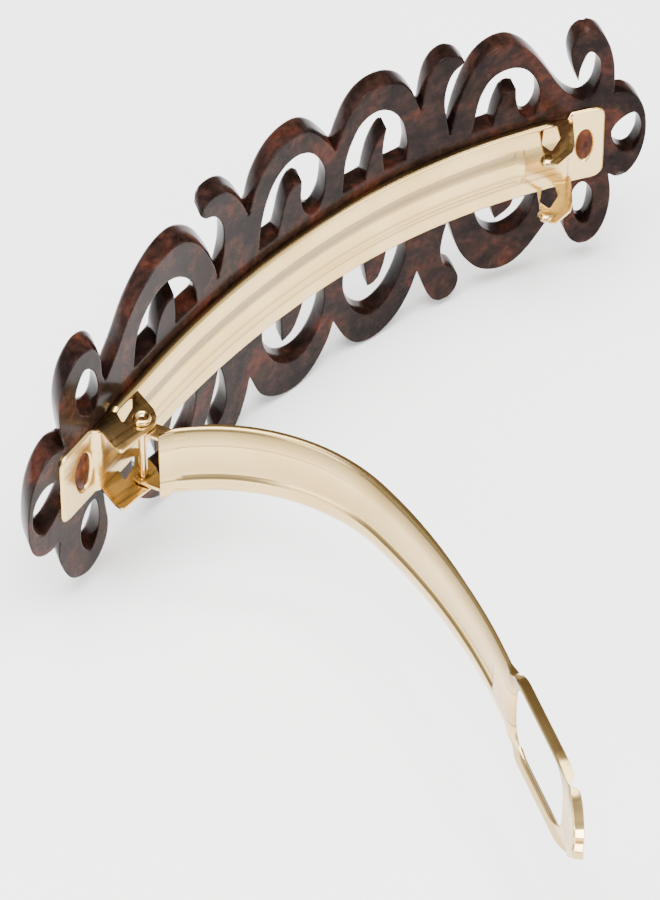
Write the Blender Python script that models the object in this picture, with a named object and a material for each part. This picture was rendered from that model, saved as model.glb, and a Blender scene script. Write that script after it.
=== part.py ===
"""Scroll-work hair barrette: a bowed plate of openwork scrolls on a French clip.

Frame while building, in millimetres: X runs along the clip from the hinge to the catch,
+Y points out of the show side of the plate, Z is across the width. The clip's own
bending line is the "spine": two arcs with straight ends. s is the distance along it
from its crown. At the end everything is moved so the box's bottom centre is the origin.
"""
import math

import bmesh
import bpy
from mathutils import Matrix, Vector
from mathutils.geometry import delaunay_2d_cdt

for old in list(bpy.data.objects):
    bpy.data.objects.remove(old, do_unlink=True)

MM = 0.001

# ---------------------------------------------------------------- driving dimensions
CROWN_X, CROWN_Y = 5.0, 8.0          # highest point of the spine
BOW_R_HINGE, BOW_LEN_HINGE = 117.0, 30.0
BOW_R_CATCH, BOW_LEN_CATCH = 81.0, 36.0

PLATE_BACK = 0.50                    # plate's back face behind the spine
PLATE_T = 3.0                        # plate thickness, square to the face
WALL_TURN = math.radians(26.0)       # cut-outs run straight through in this direction
PLATE_RISE = 0.45                    # scroll pattern sits this far up across the width
SOCKET_DEPTH = 1.3

STRIP_HALF = 5.2                     # clip strip half width
STRIP_T = 0.35                       # base sheet thickness
EDGE_WALL = 0.40                     # turned-down edges of the base
STRIP_LIFT = 0.60                    # flanges stand this far off the tabs' level
EAR_IN, EAR_OUT = 4.40, 4.85         # ears' inner and outer faces, from mid width
NECK_HALF = 4.70                     # base half width between strip and tabs

PIN = (-33.0, -1.8)                  # hinge axis in plan
PIN_R = 0.50
HEAD_R = 0.78
PIN_END = 5.65
EAR_HOLE_R = 0.53
LUG_HOLE_R = 0.56
LUG_IN, LUG_OUT = 3.80, 4.25

ARM_START = (-33.3, -4.9)            # where the arm's panel begins
ARM_HEADING = math.radians(-28.7)
ARM_R1, ARM_L1 = 23.3, 27.5          # tight bow next to the hinge
ARM_R2, ARM_L2 = 87.0, 55.0          # flatter bow up to the loop, straight after that
ARM_T = 0.40
ARM_FLANGE = 1.00                    # turned side walls of the channel
ARM_HALF_HINGE, ARM_HALF_LOOP = 5.0, 5.3
RECESS = 0.45                        # middle panel pressed in by this much
SPLIT = 27.5                         # where the spring arm is divided for its bend
SPLIT_GAP = 0.15                     # half the gap left there

LOOP_FROM, LOOP_TIP = 56.6, 81.6
WINDOW_FROM, WINDOW_TO = 60.0, 76.4
WINDOW_HALF = 5.05
TIP_BEND, TIP_R = 77.4, 7.5         # the loop's tip turns outwards from here
LOOP_HALF = 6.55
LOOP_DEEP = 1.30
LOOP_WALL = 0.40

STAKE_GAP = 0.10


# ---------------------------------------------------------------- curves
def spine(s):
    """Plan position and heading on the clip's bending line."""
    if s < 0:
        a = min(-s, BOW_LEN_HINGE) / BOW_R_HINGE
        rest = max(-s - BOW_LEN_HINGE, 0.0)
        x = CROWN_X - BOW_R_HINGE * math.sin(a) - rest * math.cos(a)
        y = CROWN_Y - BOW_R_HINGE * (1 - math.cos(a)) - rest * math.sin(a)
        return x, y, a
    a = min(s, BOW_LEN_CATCH) / BOW_R_CATCH
    rest = max(s - BOW_LEN_CATCH, 0.0)
    x = CROWN_X + BOW_R_CATCH * math.sin(a) + rest * math.cos(a)
    y = CROWN_Y - BOW_R_CATCH * (1 - math.cos(a)) - rest * math.sin(a)
    return x, y, -a


def on_spine(s, off, z):
    """Point at distance s, off behind the spine (towards the plate), height z."""
    x, y, a = spine(s)
    return Vector((x - math.sin(a) * off, y + math.cos(a) * off, z))


def arm_line(s):
    """Plan position and heading on the arm's bending line, from its hinge end."""
    x, y = ARM_START
    a0 = ARM_HEADING
    a1 = a0 - min(s, ARM_L1) / ARM_R1
    x += ARM_R1 * (math.sin(a0) - math.sin(a1))
    y += ARM_R1 * (math.cos(a1) - math.cos(a0))
    a2 = a1 - min(max(s - ARM_L1, 0.0), ARM_L2 - ARM_L1) / ARM_R2
    x += ARM_R2 * (math.sin(a1) - math.sin(a2))
    y += ARM_R2 * (math.cos(a2) - math.cos(a1))
    rest = min(max(s - ARM_L2, 0.0), TIP_BEND - ARM_L2)
    x += rest * math.cos(a2)
    y += rest * math.sin(a2)
    a3 = a2 - max(s - TIP_BEND, 0.0) / TIP_R
    x += TIP_R * (math.sin(a2) - math.sin(a3))
    y += TIP_R * (math.cos(a3) - math.cos(a2))
    return x, y, a3


def on_arm(s, off, z):
    """Point on the arm, off towards its bulging side, height z."""
    x, y, a = arm_line(s)
    return Vector((x - math.sin(a) * off, y + math.cos(a) * off, z))


def smooth_run(points, step):
    """Points along a smooth curve through the given ones; the last one is left out."""
    pts = [Vector(p) for p in points]
    ends = [pts[0] * 2 - pts[1]] + pts + [pts[-1] * 2 - pts[-2]]
    out = []
    for i in range(1, len(ends) - 2):
        p0, p1, p2, p3 = ends[i - 1:i + 3]
        t1 = max((p1 - p0).length, 1e-6) ** 0.5
        t2 = t1 + max((p2 - p1).length, 1e-6) ** 0.5
        t3 = t2 + max((p3 - p2).length, 1e-6) ** 0.5
        n = max(1, round((p2 - p1).length / step))
        for k in range(n):
            t = t1 + (t2 - t1) * k / n
            a = p0.lerp(p1, t / t1)
            b = p1.lerp(p2, (t - t1) / (t2 - t1))
            c = p2.lerp(p3, (t - t2) / (t3 - t2))
            d = a.lerp(b, t / t2)
            e = b.lerp(c, (t - t1) / (t3 - t1))
            out.append(d.lerp(e, (t - t1) / (t2 - t1)))
    return out


def closed_curve(runs, step=1.1):
    """A closed outline from runs that meet at sharp corners."""
    out = []
    for i, run in enumerate(runs):
        nxt = runs[(i + 1) % len(runs)][0]
        out += smooth_run(list(run) + [nxt], step)
    return out


def ring_curve(points, step=1.1):
    """A closed outline without corners."""
    n = len(points)
    around = [points[(i - 1) % n] for i in range(n + 3)]
    full = smooth_run(around, step)
    first = min(range(len(full)), key=lambda i: (full[i] - Vector(points[0])).length)
    last = max(i for i in range(len(full)) if (full[i] - Vector(points[0])).length < 1e-4)
    return full[first:last]


# ---------------------------------------------------------------- solids
def finish_mesh(bm, name, pivot=(0.0, 0.0)):
    """Object from a bmesh in millimetres, its origin on the given plan point."""
    bmesh.ops.remove_doubles(bm, verts=bm.verts, dist=1e-4)
    bmesh.ops.recalc_face_normals(bm, faces=bm.faces)
    base = Vector((pivot[0], pivot[1], 0.0))
    for v in bm.verts:
        v.co = (v.co - base) * MM
    mesh = bpy.data.meshes.new(name)
    bm.to_mesh(mesh)
    bm.free()
    obj = bpy.data.objects.new(name, mesh)
    obj.location = base * MM
    bpy.context.scene.collection.objects.link(obj)
    return obj


def loft(rings, name, pivot=(0.0, 0.0)):
    """Closed solid through a row of equal closed rings."""
    bm = bmesh.new()
    rows = [[bm.verts.new(p) for p in ring] for ring in rings]
    n = len(rows[0])
    for a, b in zip(rows, rows[1:]):
        for i in range(n):
            j = (i + 1) % n
            bm.faces.new((a[i], a[j], b[j], b[i]))
    bm.faces.new(rows[0][::-1])
    bm.faces.new(rows[-1])
    return finish_mesh(bm, name, pivot)


def prism(points, z0, z1, name, pivot=(0.0, 0.0)):
    """Plan outline raised from z0 to z1."""
    rings = [[Vector((p[0], p[1], z)) for p in points] for z in (z0, z1)]
    return loft(rings, name, pivot)


def is_material(p, loops):
    """True where an odd number of loops surround the point."""
    crossings = 0
    for loop in loops:
        for a, b in zip(loop, loop[1:] + loop[:1]):
            if (a[1] > p[1]) != (b[1] > p[1]):
                if p[0] < a[0] + (b[0] - a[0]) * (p[1] - a[1]) / (b[1] - a[1]):
                    crossings += 1
    return crossings % 2 == 1


def sheet_solid(loops, spread, back, front, name, pivot=(0.0, 0.0)):
    """Solid between two bent copies of a flat outline with holes."""
    coords, edges = [], []
    for loop in loops:
        first = len(coords)
        coords += [Vector(p) for p in loop]
        edges += [(first + i, first + (i + 1) % len(loop)) for i in range(len(loop))]
    xs = [p[0] for p in loops[0]]
    ys = [p[1] for p in loops[0]]
    x = min(xs) + spread / 2
    while x < max(xs):
        y = min(ys) + spread / 2
        while y < max(ys):
            here = Vector((x, y))
            if min((here - c).length_squared for c in coords) > (spread * 0.55) ** 2:
                coords.append(here)
            y += spread
        x += spread
    verts, _, faces, _, _, _ = delaunay_2d_cdt(coords, edges, [], 1, 1e-6)
    faces = [f for f in faces if is_material(sum((verts[i] for i in f), Vector((0, 0))) / 3, loops)]
    bm = bmesh.new()
    lower = [bm.verts.new(back(v)) for v in verts]
    upper = [bm.verts.new(front(v)) for v in verts]
    rim = {}
    for face in faces:
        bm.faces.new([lower[i] for i in reversed(face)])
        bm.faces.new([upper[i] for i in face])
        for i, a in enumerate(face):
            b = face[(i + 1) % len(face)]
            if (b, a) in rim:
                del rim[(b, a)]
            else:
                rim[(a, b)] = True
    for a, b in rim:
        bm.faces.new((lower[a], lower[b], upper[b], upper[a]))
    loose = [v for v in bm.verts if not v.link_faces]
    bmesh.ops.delete(bm, geom=loose, context="VERTS")
    return finish_mesh(bm, name, pivot)


def cylinder(cx, cy, r, z0, z1, name, sides=24):
    """Upright cylinder at a plan point."""
    turn = [2 * math.pi * i / sides for i in range(sides)]
    return prism([(cx + r * math.cos(t), cy + r * math.sin(t)) for t in turn], z0, z1, name)


def combine(target, others, operation):
    """Exact union or difference, applied at once; the other solids are used up."""
    for other in others:
        mod = target.modifiers.new(operation.lower(), "BOOLEAN")
        mod.operation = operation
        mod.solver = "EXACT"
        mod.object = other
        deps = bpy.context.evaluated_depsgraph_get()
        made = bpy.data.meshes.new_from_object(target.evaluated_get(deps))
        target.modifiers.clear()
        target.data = made
        bpy.data.objects.remove(other, do_unlink=True)
    return target


def ellipse(cx, cy, rx, ry, sides=28):
    turn = [2 * math.pi * i / sides for i in range(sides)]
    return [(cx + rx * math.cos(t), cy + ry * math.sin(t)) for t in turn]


def spine_plug(s, rings, name):
    """Oval solid standing square to the spine at s; rings are (off, half_s, half_z)."""
    x, y, a = spine(s)
    along = Vector((math.cos(a), math.sin(a), 0.0))
    away = Vector((-math.sin(a), math.cos(a), 0.0))
    foot = Vector((x, y, 0.0))
    rows = []
    for off, hs, hz in rings:
        oval = ellipse(0.0, 0.0, hs, hz)
        rows.append([foot + along * u + away * off + Vector((0, 0, v)) for u, v in oval])
    return loft(rows, name)


# ---------------------------------------------------------------- scroll plate
# Outline in (s, across the width), one run per scroll lobe; runs meet in sharp cusps.
OUTLINE = [
    [(-49.0, 5.7), (-49.6, 9.0), (-49.6, 12.5), (-48.3, 15.4), (-45.5, 16.9),
     (-42.8, 16.0), (-41.2, 13.4), (-40.9, 10.5)],
    [(-40.4, 9.2), (-38.0, 11.7), (-36.0, 14.3), (-33.7, 16.3), (-31.0, 17.7),
     (-28.3, 18.4), (-25.5, 18.2), (-23.2, 16.9), (-21.2, 14.8), (-18.7, 10.0)],
    [(-18.0, 7.3), (-17.0, 10.5), (-17.1, 14.8), (-18.4, 17.1), (-20.2, 18.1)],
    [(-21.0, 19.1), (-20.3, 20.1), (-18.5, 20.3), (-16.5, 19.6), (-14.8, 17.8),
     (-13.5, 15.6)],
    [(-12.4, 13.1), (-11.4, 16.0), (-9.8, 18.2), (-8.0, 19.5), (-5.6, 20.1),
     (-3.3, 19.8), (-1.5, 18.5), (0.6, 15.7)],
    [(1.8, 13.7), (2.7, 15.8), (3.9, 17.9), (5.5, 19.3), (7.5, 19.9), (9.8, 19.6),
     (11.7, 18.4), (13.3, 16.0)],
    [(14.4, 13.0), (14.8, 15.8), (15.4, 17.9), (16.4, 19.2), (17.9, 19.7),
     (19.4, 19.0)],
    [(20.3, 17.8), (18.8, 16.8), (18.0, 15.0), (17.7, 12.5), (18.0, 10.0)],
    [(18.5, 7.3), (19.3, 11.0), (20.8, 15.0), (22.3, 17.1), (24.3, 18.2), (26.3, 18.2),
     (28.0, 17.1), (29.6, 15.2), (31.2, 12.5), (32.6, 9.9), (34.2, 7.6), (36.0, 6.4),
     (37.2, 7.2), (37.9, 9.5), (37.8, 12.2), (36.5, 13.8), (35.4, 11.4)],
    [(35.2, 9.5), (34.4, 12.2), (34.2, 14.5), (34.8, 16.4), (36.3, 17.2), (37.8, 16.5),
     (38.9, 14.4), (39.6, 11.5), (39.8, 8.5)],
    [(39.8, 6.3), (41.3, 6.3), (42.7, 5.2), (43.7, 3.0), (44.1, 0.0), (43.8, -3.0),
     (43.0, -5.3), (41.8, -6.8), (40.6, -7.1)],
    [(39.5, -6.4), (39.8, -8.7), (39.8, -11.0), (39.2, -14.0), (38.0, -16.2),
     (36.5, -16.9), (35.2, -16.2), (34.2, -14.3), (33.9, -12.0)],
    [(33.2, -9.2), (30.9, -13.0), (28.9, -15.6), (27.2, -16.9), (25.3, -17.2),
     (23.0, -16.3), (21.3, -14.4), (20.0, -12.0), (19.1, -9.0)],
    [(18.4, -6.2), (17.7, -9.0), (17.5, -11.3), (18.0, -13.3), (19.3, -14.6),
     (20.0, -16.4), (19.4, -18.3), (18.0, -19.1), (16.7, -18.6), (15.7, -17.1)],
    [(14.15, -12.5), (13.0, -15.3), (11.3, -17.8), (9.3, -19.3), (7.3, -19.8),
     (5.3, -19.3), (3.7, -17.7), (2.4, -15.4)],
    [(1.5, -13.4), (0.5, -15.8), (-0.9, -17.7), (-2.6, -19.2), (-4.5, -19.9),
     (-6.6, -19.7), (-8.8, -18.7), (-10.8, -16.8)],
    [(-12.65, -12.7), (-13.5, -15.4), (-15.0, -18.2), (-16.8, -19.4), (-18.6, -19.0),
     (-19.5, -17.5)],
    [(-19.2, -16.0), (-18.0, -15.1), (-17.1, -13.2), (-17.2, -10.2)],
    [(-18.1, -6.6), (-19.3, -10.3), (-20.9, -13.8), (-22.8, -16.2), (-25.5, -18.0),
     (-28.5, -18.5), (-31.5, -17.3), (-34.3, -14.9), (-36.8, -11.8)],
    [(-41.6, -6.8), (-41.3, -10.0), (-40.9, -13.0), (-41.5, -15.3), (-43.0, -16.8),
     (-45.0, -17.4), (-47.0, -16.8), (-48.7, -15.5), (-50.0, -13.3), (-51.0, -10.0)],
    [(-50.6, -7.8), (-52.2, -7.9), (-54.0, -7.3), (-55.6, -5.8), (-56.5, -3.2),
     (-56.5, 0.5), (-55.7, 3.6), (-53.9, 5.8), (-51.5, 6.6)],
]
# Cut-outs with sharp corners, each a list of runs.
CUTS = [
    [[(-34.6, 6.5)], [(-30.3, 6.5), (-30.0, 8.3), (-29.0, 10.0), (-27.8, 10.9)],
     [(-26.3, 11.0), (-26.1, 9.0)], [(-26.1, 6.5)],
     [(-22.0, 6.5), (-22.3, 8.7), (-23.2, 10.8), (-24.8, 12.6), (-26.6, 13.7),
      (-28.6, 14.1), (-30.8, 13.6), (-32.6, 12.4), (-33.9, 10.5)]],
    [[(-10.7, 6.4)], [(-7.7, 6.4), (-7.2, 8.0), (-6.7, 9.9), (-5.8, 11.8), (-4.6, 12.6)],
     [(-3.5, 12.2), (-3.6, 9.3), (-3.0, 7.2), (-1.6, 6.0), (-0.4, 7.4), (0.1, 9.6),
      (0.1, 11.6), (-0.7, 13.9), (-2.3, 15.9), (-4.3, 16.7), (-6.2, 16.4),
      (-8.0, 15.1), (-9.4, 12.8), (-10.3, 9.8)]],
    [[(3.0, 6.35)], [(6.3, 6.35), (6.7, 8.3), (7.4, 10.4), (8.5, 12.1)],
     [(9.5, 12.7), (9.1, 10.7), (9.0, 8.7)], [(9.3, 6.35)],
     [(12.2, 6.35), (12.5, 8.3), (12.3, 10.4), (11.7, 12.7), (10.4, 14.8), (8.7, 16.0),
      (7.2, 16.1), (5.7, 15.4), (4.5, 13.7), (3.5, 11.2)]],
    [[(21.5, 6.2)], [(24.2, 6.2), (24.5, 7.7), (25.0, 9.3), (25.8, 10.7)],
     [(27.2, 10.9), (27.3, 9.0), (28.0, 6.5), (29.1, 5.6), (30.0, 6.7), (30.3, 9.2),
      (29.6, 11.8), (28.0, 13.8), (26.1, 14.4), (24.1, 13.8), (22.6, 11.6)]],
    [[(-35.6, -6.4), (-35.7, -8.6), (-34.8, -11.0), (-32.5, -13.5), (-29.3, -14.7),
      (-26.3, -13.9), (-23.9, -11.9), (-22.8, -9.0)],
     [(-22.6, -6.4)], [(-27.0, -6.4), (-27.6, -8.4), (-28.8, -10.2)],
     [(-31.0, -10.4)], [(-31.3, -6.4)]],
    [[(-10.3, -6.4), (-10.3, -8.6), (-9.3, -11.5), (-7.6, -14.0), (-5.7, -15.1),
      (-4.0, -15.2), (-2.4, -14.3), (-1.0, -12.3), (-0.2, -9.6)],
     [(0.0, -6.4)], [(-3.3, -6.4), (-4.0, -8.3), (-5.3, -10.3)], [(-7.0, -11.0)],
     [(-7.3, -6.4)]],
    [[(3.1, -6.4), (3.1, -9.3), (3.9, -11.9), (5.2, -14.2), (7.2, -15.6), (9.3, -14.8),
      (11.1, -12.3), (12.2, -9.0)],
     [(12.5, -6.4)], [(9.7, -6.4), (9.1, -8.8), (8.1, -10.6)], [(6.8, -10.9)],
     [(6.1, -6.4)]],
    [[(22.0, -6.1), (22.4, -7.9), (23.2, -9.7), (24.5, -11.2), (26.3, -11.9),
      (28.0, -11.2), (29.3, -9.6)],
     [(30.2, -6.1)], [(27.4, -6.1), (26.8, -7.6)], [(24.8, -8.9)], [(24.1, -6.1)]],
]
# Cut-outs without corners.
EYES = [
    [(-46.1, 9.7), (-46.1, 12.0), (-44.4, 13.9), (-42.8, 12.6), (-42.0, 9.0),
     (-43.1, 6.4), (-44.9, 7.3)],
    [(-55.5, -1.2), (-54.9, 1.7), (-53.0, 2.6), (-50.8, 1.8), (-48.9, -0.5),
     (-51.0, -3.1), (-53.7, -4.1)],
    [(-46.3, -9.6), (-45.2, -7.6), (-43.6, -7.1), (-42.8, -9.6), (-43.2, -12.7),
     (-44.7, -14.3), (-46.1, -12.4)],
    [(39.7, 0.4), (41.0, 2.2), (42.5, 2.7), (43.4, 0.8), (43.3, -1.8), (42.2, -3.5),
     (40.7, -2.7)],
    [(35.1, -7.6), (35.1, -10.5), (35.8, -13.0), (36.8, -13.6), (37.5, -11.0),
     (37.3, -8.2), (36.1, -6.7)],
]


def plate_point(p, depth):
    """Point of the plate; depth 0 is the back face, 1 the show face."""
    _, _, a = spine(p[0])
    foot = on_spine(p[0], PLATE_BACK, p[1] + PLATE_RISE)
    reach = depth * PLATE_T / math.cos(WALL_TURN + a)
    return foot + Vector((math.sin(WALL_TURN), math.cos(WALL_TURN), 0.0)) * reach


loops = [closed_curve(OUTLINE)]
loops += [closed_curve(cut, 1.0) for cut in CUTS]
loops += [ring_curve(eye, 1.0) for eye in EYES]
plate = sheet_solid(loops, 3.0, lambda p: plate_point(p, 0.0),
                    lambda p: plate_point(p, 1.0), "scroll_plate")

# ---------------------------------------------------------------- heat-staked pegs
# (s, half size along, half size across) of the holes in the clip's end tabs.
STAKES = {"stake_hinge": (-45.9, 1.45, 2.70), "stake_catch": (36.1, 1.05, 2.35)}
stakes = []
sockets = []
for stake_name, (s_at, hs, hz) in STAKES.items():
    deep = PLATE_BACK + SOCKET_DEPTH
    sockets.append(spine_plug(s_at, [(0.0, hs, hz), (deep, hs, hz)], "socket"))
    ps, pz = hs - STAKE_GAP, hz - STAKE_GAP
    stakes.append(spine_plug(s_at, [(-0.55, ps * 0.45, pz * 0.60), (-0.48, ps * 0.80, pz * 0.85),
                                    (-0.25, ps, pz), (deep - STAKE_GAP, ps, pz)], stake_name))
combine(plate, sockets, "DIFFERENCE")


# ---------------------------------------------------------------- clip base
def ease(t):
    t = min(max(t, 0.0), 1.0)
    return t * t * (3 - 2 * t)


# Half width of the base along the spine: rounded tabs, narrower necks, wide strip.
BASE_EDGE = [
    (-50.3, 3.4), (-50.2, 4.3), (-49.7, 4.9), (-48.9, 5.1), (-47.0, 5.1), (-44.6, 5.1),
    (-43.8, 4.9), (-43.2, NECK_HALF), (-42.0, NECK_HALF), (-40.4, NECK_HALF), (-40.0, 5.0),
    (-39.3, STRIP_HALF), (-38.6, STRIP_HALF), (-37.8, STRIP_HALF), (-37.0, STRIP_HALF),
    (-34.0, STRIP_HALF), (-30.0, STRIP_HALF), (-26.0, STRIP_HALF), (-22.0, STRIP_HALF),
    (-18.0, STRIP_HALF), (-14.0, STRIP_HALF), (-10.0, STRIP_HALF), (-6.0, STRIP_HALF),
    (-2.0, STRIP_HALF), (2.0, STRIP_HALF), (6.0, STRIP_HALF), (10.0, STRIP_HALF),
    (14.0, STRIP_HALF), (18.0, STRIP_HALF), (22.0, STRIP_HALF), (26.0, STRIP_HALF),
    (26.8, STRIP_HALF), (27.5, STRIP_HALF), (28.2, STRIP_HALF), (31.0, STRIP_HALF),
    (31.8, 5.0), (32.3, NECK_HALF), (33.6, NECK_HALF), (34.1, 5.2), (34.7, 5.5),
    (36.1, 5.55), (37.4, 5.4), (38.1, 4.9), (38.5, 4.2), (38.6, 3.4),
]
GROOVE_HALF = 2.5
GROOVE_FROM, GROOVE_TO = -37.8, 27.5


def base_level(s, z):
    """How far the base's clasp face stands behind the spine."""
    lifted = ease((s + 44.2) / 0.9) * ease((34.3 - s) / 0.9)
    level = 0.05 - (STRIP_LIFT + 0.05) * lifted
    inside = ease((s - GROOVE_FROM + 0.6) / 0.9) * ease((GROOVE_TO + 0.6 - s) / 0.9)
    valley = max(0.0, 1 - abs(z) / GROOVE_HALF)
    return level + (STRIP_LIFT + 0.05) * inside * valley ** 0.7


def base_ring(s, half):
    """Cross-section of the base at s."""
    groove = min(GROOVE_HALF, half * 0.5)
    flange = [-half, -0.7 * half - 0.3 * groove, -0.35 * half - 0.65 * groove]
    middle = [groove * f for f in (-1.0, -0.64, -0.28, 0.0, 0.28, 0.64, 1.0)]
    cols = flange + middle + [-z for z in reversed(flange)]
    near = [on_spine(s, base_level(s, z), z) for z in cols]
    inner = [-half + EDGE_WALL] + cols[1:-1] + [half - EDGE_WALL]
    far = [on_spine(s, base_level(s, z) + STRIP_T, z) for z in reversed(inner)]
    foot = 0.05 + STRIP_T
    return near + [on_spine(s, foot, half), on_spine(s, foot, half - EDGE_WALL)] + far + [
        on_spine(s, foot, -half + EDGE_WALL), on_spine(s, foot, -half)]


base = loft([base_ring(s, half) for s, half in BASE_EDGE], "base_plate")
holes = []
for stake_name, (s_at, hs, hz) in STAKES.items():
    holes.append(spine_plug(s_at, [(-1.5, hs, hz), (1.5, hs, hz)], "hole"))
combine(base, holes, "DIFFERENCE")

# Ears folded up from the necks, drawn in plan; each has a five-sided window by its root.
HINGE_EAR = [(-37.4, 1.0), (-38.1, -2.6), (-38.0, -3.9), (-34.8, -3.5), (-32.3, -3.3),
             (-31.3, -2.5), (-30.7, -1.3), (-29.9, 2.8), (-30.2, 2.95)]
HINGE_WINDOW = [(-34.1, 1.25), (-30.9, 2.15), (-32.4, 0.5), (-34.8, -0.6)]
CATCH_EAR = [(34.2, 2.35), (31.6, -0.8), (30.9, -2.9), (31.1, -3.8), (34.2, -3.4),
             (35.3, -2.6), (38.3, 0.65), (38.4, 0.9), (36.0, 1.9)]
CATCH_WINDOW = [(34.5, 1.75), (36.0, 1.1), (34.8, -0.6), (32.5, -1.5), (32.5, 0.1)]
ears = []
for outline, window in ((HINGE_EAR, HINGE_WINDOW), (CATCH_EAR, CATCH_WINDOW)):
    for side in (-1, 1):
        z0, z1 = sorted((side * EAR_IN, side * EAR_OUT))
        ear = prism(outline, z0, z1, "ear")
        combine(ear, [prism(window, z0 - 0.5, z1 + 0.5, "window")], "DIFFERENCE")
        ears.append(ear)
combine(base, ears, "UNION")
combine(base, [cylinder(PIN[0], PIN[1], EAR_HOLE_R, -6.0, 6.0, "bore")], "DIFFERENCE")

# ---------------------------------------------------------------- hinge pin
pin_profile = [(HEAD_R * 0.45, PIN_END), (HEAD_R * 0.80, PIN_END - 0.16),
               (HEAD_R, PIN_END - 0.42), (HEAD_R, EAR_OUT + 0.06), (PIN_R, EAR_OUT + 0.05)]
pin_profile += [(r, -z) for r, z in reversed(pin_profile)]
pin_rings = [[Vector((p[0], p[1], z)) for p in ellipse(PIN[0], PIN[1], r, r, 32)]
             for r, z in reversed(pin_profile)]
pin = loft(pin_rings, "hinge_pin")


# ---------------------------------------------------------------- clasp arm
def channel_ring(s, flange):
    """Cross-section of the arm's pressed channel at s, as a closed ring."""
    half = ARM_HALF_HINGE + (ARM_HALF_LOOP - ARM_HALF_HINGE) * s / LOOP_FROM
    deep = RECESS * ease((s - 2.6) / 1.2) * ease((LOOP_FROM - 2.0 - s) / 1.2)
    side = half - ARM_T / 2
    line = [(flange, -side), (0.25, -side), (0.0, -side + 0.25), (0.0, -2.6), (deep, -2.2),
            (deep, 2.2), (0.0, 2.6), (0.0, side - 0.25), (0.25, side), (flange, side)]
    near, far = [], []
    for i, here in enumerate(line):
        a = Vector(line[max(i - 1, 0)])
        b = Vector(line[min(i + 1, len(line) - 1)])
        p = Vector(here)
        n1 = (p - a).normalized() if (p - a).length > 0 else (b - p).normalized()
        n2 = (b - p).normalized() if (b - p).length > 0 else n1
        mid = (n1 + n2).normalized()
        square = Vector((-mid.y, mid.x)) * (ARM_T / 2 / max(mid.dot(n1), 0.5))
        near.append(p + square)
        far.append(p - square)
    return [on_arm(s, q.x, q.y) for q in near + far[::-1]]


def stations(start, end, step):
    n = max(1, round((end - start) / step))
    return [start + (end - start) * i / n for i in range(n + 1)]


def channel(start, end, name, cut_near_start, cut_near_end):
    """Length of the arm's channel; side walls fade out where the arm is divided."""
    rings = []
    marks = stations(start, end, 2.0)
    marks += [start + 0.9, end - 0.9, 2.6, 3.2, 3.8, 4.6, 5.2]
    marks += [LOOP_FROM - 3.2, LOOP_FROM - 2.6]
    marks = sorted(m for m in set(marks) if start <= m <= end)
    for m in marks:
        low = (cut_near_start and m - start < 0.8) or (cut_near_end and end - m < 0.8)
        low = low or m < 4.7
        rings.append(channel_ring(m, 0.35 if low else ARM_FLANGE))
    return loft(rings, name, PIN if start < SPLIT else SPLIT_AT)


SPLIT_AT = arm_line(SPLIT)[:2]
hinge_half = channel(0.0, SPLIT - SPLIT_GAP, "arm_hinge_half", False, True)

# Two lugs carry the arm on the pin, inside the ears.
lug_a = arm_line(0.15)
lug_b = arm_line(3.6)
away = math.atan2(lug_a[1] - PIN[1], lug_a[0] - PIN[0])
lug = [(PIN[0] + 1.25 * math.cos(away - math.radians(70 + 20 * k)),
        PIN[1] + 1.25 * math.sin(away - math.radians(70 + 20 * k))) for k in range(12)]
lug += [lug_b[:2], lug_a[:2]]
lugs = [prism(lug, z0, z1, "lug") for z0, z1 in ((LUG_IN, LUG_OUT), (-LUG_OUT, -LUG_IN))]
combine(hinge_half, lugs, "UNION")
combine(hinge_half, [cylinder(PIN[0], PIN[1], LUG_HOLE_R, -6.0, 6.0, "bore")], "DIFFERENCE")

loop_half = channel(SPLIT + SPLIT_GAP, LOOP_FROM + 0.22, "arm_loop_half", True, False)

# The loop is a channel-section frame, open on the bulging side, with a pointed tip.
LOOP_EDGE = [(LOOP_FROM, 5.42), (LOOP_FROM + 1.2, 5.75), (LOOP_FROM + 2.4, LOOP_HALF),
             (WINDOW_TO - 1.0, LOOP_HALF), (WINDOW_TO + 1.6, 5.2), (WINDOW_TO + 2.6, 4.1),
             (LOOP_TIP - 1.6, 1.9), (LOOP_TIP - 0.95, 1.7), (LOOP_TIP - 0.8, 0.9),
             (LOOP_TIP, 0.6)]


def inset(edge, by):
    """The loop's outline drawn in by the wall thickness."""
    out = [(s, h - by) for s, h in edge[:4]]
    out += [(WINDOW_TO + 1.2, 5.2 - by), (LOOP_TIP - 2.3, 1.7)]
    out[0] = (edge[0][0] + by, out[0][1])
    return out


def arm_block(edge, off0, off1, name):
    """Block along the arm whose half width changes as the edge says."""
    rings = [[on_arm(s, off0, -h), on_arm(s, off0, h), on_arm(s, off1, h), on_arm(s, off1, -h)]
             for s, h in edge]
    return loft(rings, name, SPLIT_AT)


LOW = -ARM_T / 2 - 0.03
loop = arm_block(LOOP_EDGE, LOW, LOW + LOOP_DEEP, "loop")
hollow = arm_block(inset(LOOP_EDGE, LOOP_WALL), LOW + LOOP_WALL, 3.0, "hollow")
lip_edge = [(WINDOW_FROM - LOOP_WALL, WINDOW_HALF + LOOP_WALL),
            (WINDOW_TO + LOOP_WALL, WINDOW_HALF + LOOP_WALL)]
lip = arm_block(lip_edge, LOW + 0.1, LOW + LOOP_DEEP, "lip")
window_edge = [(WINDOW_FROM, 3.0), (WINDOW_FROM + 0.6, 4.4), (WINDOW_FROM + 2.0, WINDOW_HALF),
               (WINDOW_TO - 2.6, WINDOW_HALF), (WINDOW_TO - 0.8, 4.2), (WINDOW_TO, 2.4)]
window = arm_block(window_edge, -2.0, 4.0, "window")
combine(loop, [hollow], "DIFFERENCE")
combine(loop, [lip], "UNION")
combine(loop_half, [loop], "UNION")
combine(loop_half, [window], "DIFFERENCE")


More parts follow.
